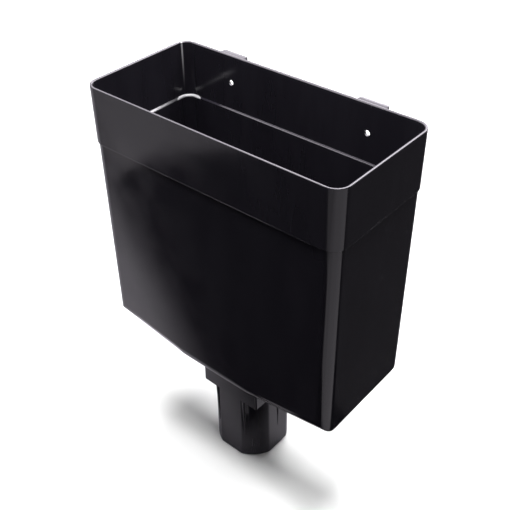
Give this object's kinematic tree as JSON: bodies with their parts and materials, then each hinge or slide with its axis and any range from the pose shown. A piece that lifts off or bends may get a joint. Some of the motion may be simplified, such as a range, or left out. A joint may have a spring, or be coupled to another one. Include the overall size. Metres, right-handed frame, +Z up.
{
  "type": "downpipe hopper head",
  "caption": "Open-topped rectangular rainwater hopper head in glossy black plastic, with a collar, a floor that falls to a shoulder block and a universal outlet spigot, fixed to a wall.",
  "frame": {"origin": "on the outlet spigot's axis, at its lower end, where the part stands", "axes": "+Z up, +Y towards the wall that the part is fixed to, +X to the right as seen from the front"},
  "size_m": [0.212, 0.1038, 0.311],
  "materials": {
    "black_plastic": "glossy as moulded"
  },
  "bodies": {
    "root": {"hopper_head": "black_plastic"}
  },
  "joints": []
}
